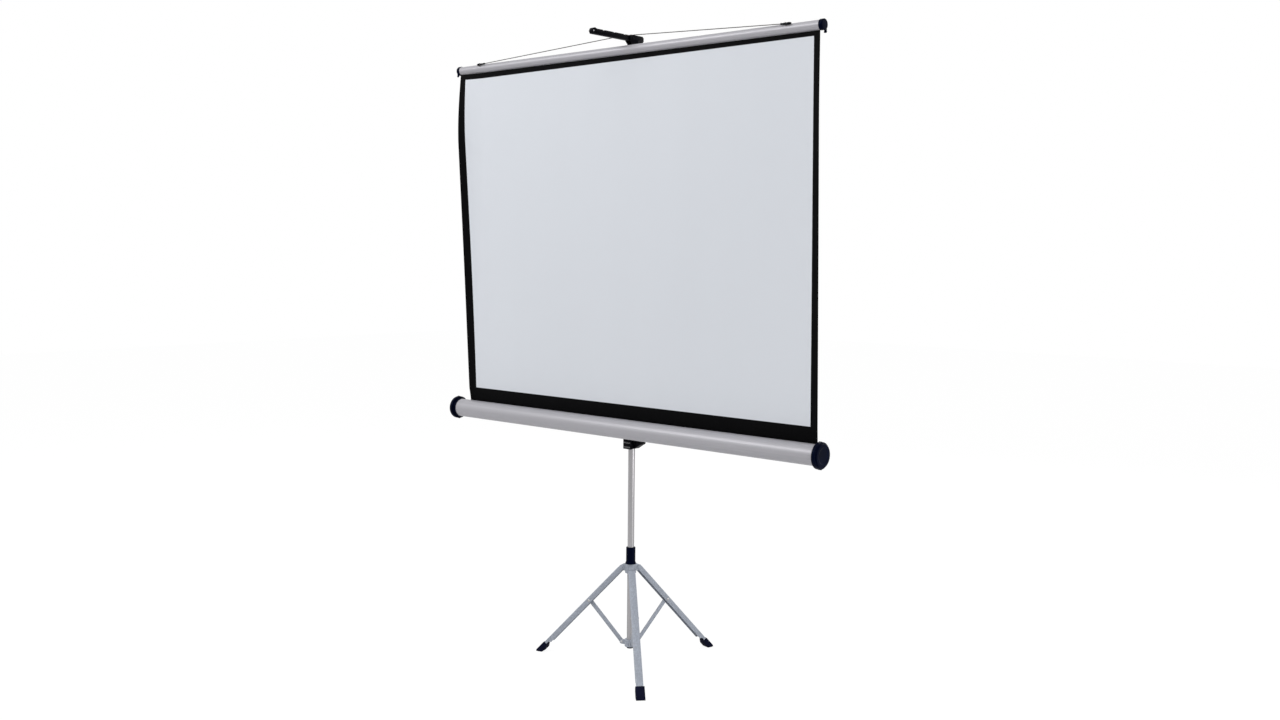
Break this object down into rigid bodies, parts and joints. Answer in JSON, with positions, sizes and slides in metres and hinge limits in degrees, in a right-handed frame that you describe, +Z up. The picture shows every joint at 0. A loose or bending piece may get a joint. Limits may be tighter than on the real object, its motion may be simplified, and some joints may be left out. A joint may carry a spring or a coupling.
{
  "type": "tripod projector screen",
  "caption": "Portable roll-up projection screen on a folding tripod, with a swivelling roller case, an extending mast, a top batten hung by a bail cord and a keystone arm",
  "frame": {"origin": "on the floor, at the middle of the bounding box seen from above", "axes": "+X to the right of someone who looks at the picture, -Y the way the screen faces, +Z up"},
  "size_m": [1.631, 0.6086, 2.128],
  "materials": {
    "aluminium": "satin extruded",
    "leg_paint": "hammered grey",
    "fabric": "matt white, black borders",
    "cord": "thin black cord",
    "cap_plastic": "satin",
    "steel": "zinc plated",
    "black_plastic": "satin"
  },
  "bodies": {
    "column": {"column_tube": "aluminium", "column_plug": "black_plastic", "strut_collar": "leg_paint", "column_guide": "black_plastic"},
    "hub": {"hub_bracket": "leg_paint", "hub_sleeve": "black_plastic", "leg_pin_1": "steel", "leg_pin_2": "steel", "leg_pin_3": "steel"},
    "leg_1": {"leg_1": "leg_paint", "leg_shoe_1": "black_plastic", "strut_rivet_1": "steel"},
    "leg_2": {"leg_2": "leg_paint", "leg_shoe_2": "black_plastic", "strut_rivet_2": "steel"},
    "leg_3": {"leg_3": "leg_paint", "leg_shoe_3": "black_plastic", "strut_rivet_3": "steel"},
    "strut_1": {"strut_1": "leg_paint"},
    "strut_2": {"strut_2": "leg_paint"},
    "strut_3": {"strut_3": "leg_paint"},
    "carriage": {"carriage_block": "black_plastic", "swivel_washer": "black_plastic", "lever_pin": "steel"},
    "lever": {"lock_lever": "black_plastic"},
    "case": {"case_tube": "aluminium", "case_cap_left": "cap_plastic", "case_cap_right": "cap_plastic", "case_saddle": "black_plastic", "swivel_bolt": "steel", "gudgeon_pin": "steel", "spring_arbor": "steel", "screen_fabric": "fabric"},
    "roller": {"roller_tube": "steel", "wound_fabric": "fabric", "roller_plug_left": "black_plastic", "roller_plug_right": "black_plastic", "roller_spring": "steel"},
    "batten": {"batten_tube": "aluminium", "batten_cap_left": "cap_plastic", "batten_cap_right": "cap_plastic", "bail_eye_left": "steel", "bail_eye_right": "steel", "bail_cord": "cord"},
    "mast_lower": {"mast_lower_tube": "aluminium", "mast_guide": "black_plastic"},
    "mast_upper": {"mast_upper_tube": "aluminium", "mast_head": "black_plastic", "arm_pin": "steel"},
    "arm": {"keystone_arm": "black_plastic"}
  },
  "joints": [
    {"name": "case_swivel", "type": "hinge", "parent": "carriage", "child": "case", "pos_m": [0, -0.084, 0.828], "axis": [0, -1, 0], "range_deg": [0, 90]},
    {"name": "screen_pull", "type": "slide", "parent": "case", "child": "batten", "axis": [0, -0.0259, 0.9997], "range_m": [-1.187, 0], "deforming": ["screen_fabric", "bail_cord"]},
    {"name": "roller_spin", "type": "hinge", "parent": "case", "child": "roller", "pos_m": [0, -0.1245, 0.828], "axis": [-1, 0, 0], "range_deg": [0, 3170]},
    {"name": "mast_upper_slide", "type": "slide", "parent": "mast_lower", "child": "mast_upper", "axis": [0, 0, 1], "range_m": [-0.37, 0]},
    {"name": "arm_hinge", "type": "hinge", "parent": "mast_upper", "child": "arm", "pos_m": [0, -0.073, 2.1165], "axis": [1, 0, 0], "range_deg": [0, 90]},
    {"name": "hub_slide", "type": "slide", "parent": "column", "child": "hub", "axis": [0, 0, 1], "range_m": [0, 0.0982]},
    {"name": "leg_hinge_1", "type": "hinge", "parent": "hub", "child": "leg_1", "pos_m": [0.02203, -0.06986, 0.338], "axis": [0.6788, 0.7343, 0], "range_deg": [0, 43.34]},
    {"name": "strut_hinge_1", "type": "hinge", "parent": "leg_1", "child": "strut_1", "pos_m": [0.11275, -0.15372, 0.2071], "axis": [0.6788, 0.7343, 0], "range_deg": [-86.69, 0]},
    {"name": "leg_hinge_2", "type": "hinge", "parent": "hub", "child": "leg_2", "pos_m": [0.00662, -0.02024, 0.338], "axis": [-0.9753, 0.2207, 0], "range_deg": [0, 43.34]},
    {"name": "strut_hinge_2", "type": "hinge", "parent": "leg_2", "child": "strut_2", "pos_m": [0.03389, 0.10026, 0.2071], "axis": [-0.9753, 0.2207, 0], "range_deg": [-86.69, 0]},
    {"name": "leg_hinge_3", "type": "hinge", "parent": "hub", "child": "leg_3", "pos_m": [-0.02865, -0.05839, 0.338], "axis": [0.2965, -0.955, 0], "range_deg": [0, 43.34]},
    {"name": "strut_hinge_3", "type": "hinge", "parent": "leg_3", "child": "strut_3", "pos_m": [-0.14664, -0.09503, 0.2071], "axis": [0.2965, -0.955, 0], "range_deg": [-86.69, 0]},
    {"name": "carriage_slide", "type": "slide", "parent": "column", "child": "carriage", "axis": [0, 0, 1], "range_m": [0, 0.3]},
    {"name": "mast_lower_slide", "type": "slide", "parent": "column", "child": "mast_lower", "axis": [0, 0, 1], "range_m": [0, 0.3]},
    {"name": "lever_hinge", "type": "hinge", "parent": "carriage", "child": "lever", "pos_m": [0.0225, -0.0495, 0.775], "axis": [0, -1, 0], "range_deg": [0, 15], "stiffness_Nm_per_rad": 0.6}
  ],
  "couplings": [
    {"joint": "screen_pull", "follows": "case_swivel", "m_per_rad": -0.75567},
    {"joint": "roller_spin", "follows": "case_swivel", "ratio": 35.212},
    {"joint": "mast_upper_slide", "follows": "case_swivel", "m_per_rad": -0.23555},
    {"joint": "arm_hinge", "follows": "case_swivel", "ratio": 1},
    {"joint": "hub_slide", "follows": "case_swivel", "m_per_rad": 0.062509},
    {"joint": "leg_hinge_1", "follows": "case_swivel", "ratio": 0.48159},
    {"joint": "strut_hinge_1", "follows": "case_swivel", "ratio": -0.96319},
    {"joint": "leg_hinge_2", "follows": "case_swivel", "ratio": 0.48159},
    {"joint": "strut_hinge_2", "follows": "case_swivel", "ratio": -0.96319},
    {"joint": "leg_hinge_3", "follows": "case_swivel", "ratio": 0.48159},
    {"joint": "strut_hinge_3", "follows": "case_swivel", "ratio": -0.96319},
    {"joint": "mast_lower_slide", "follows": "carriage_slide", "ratio": 1}
  ]
}
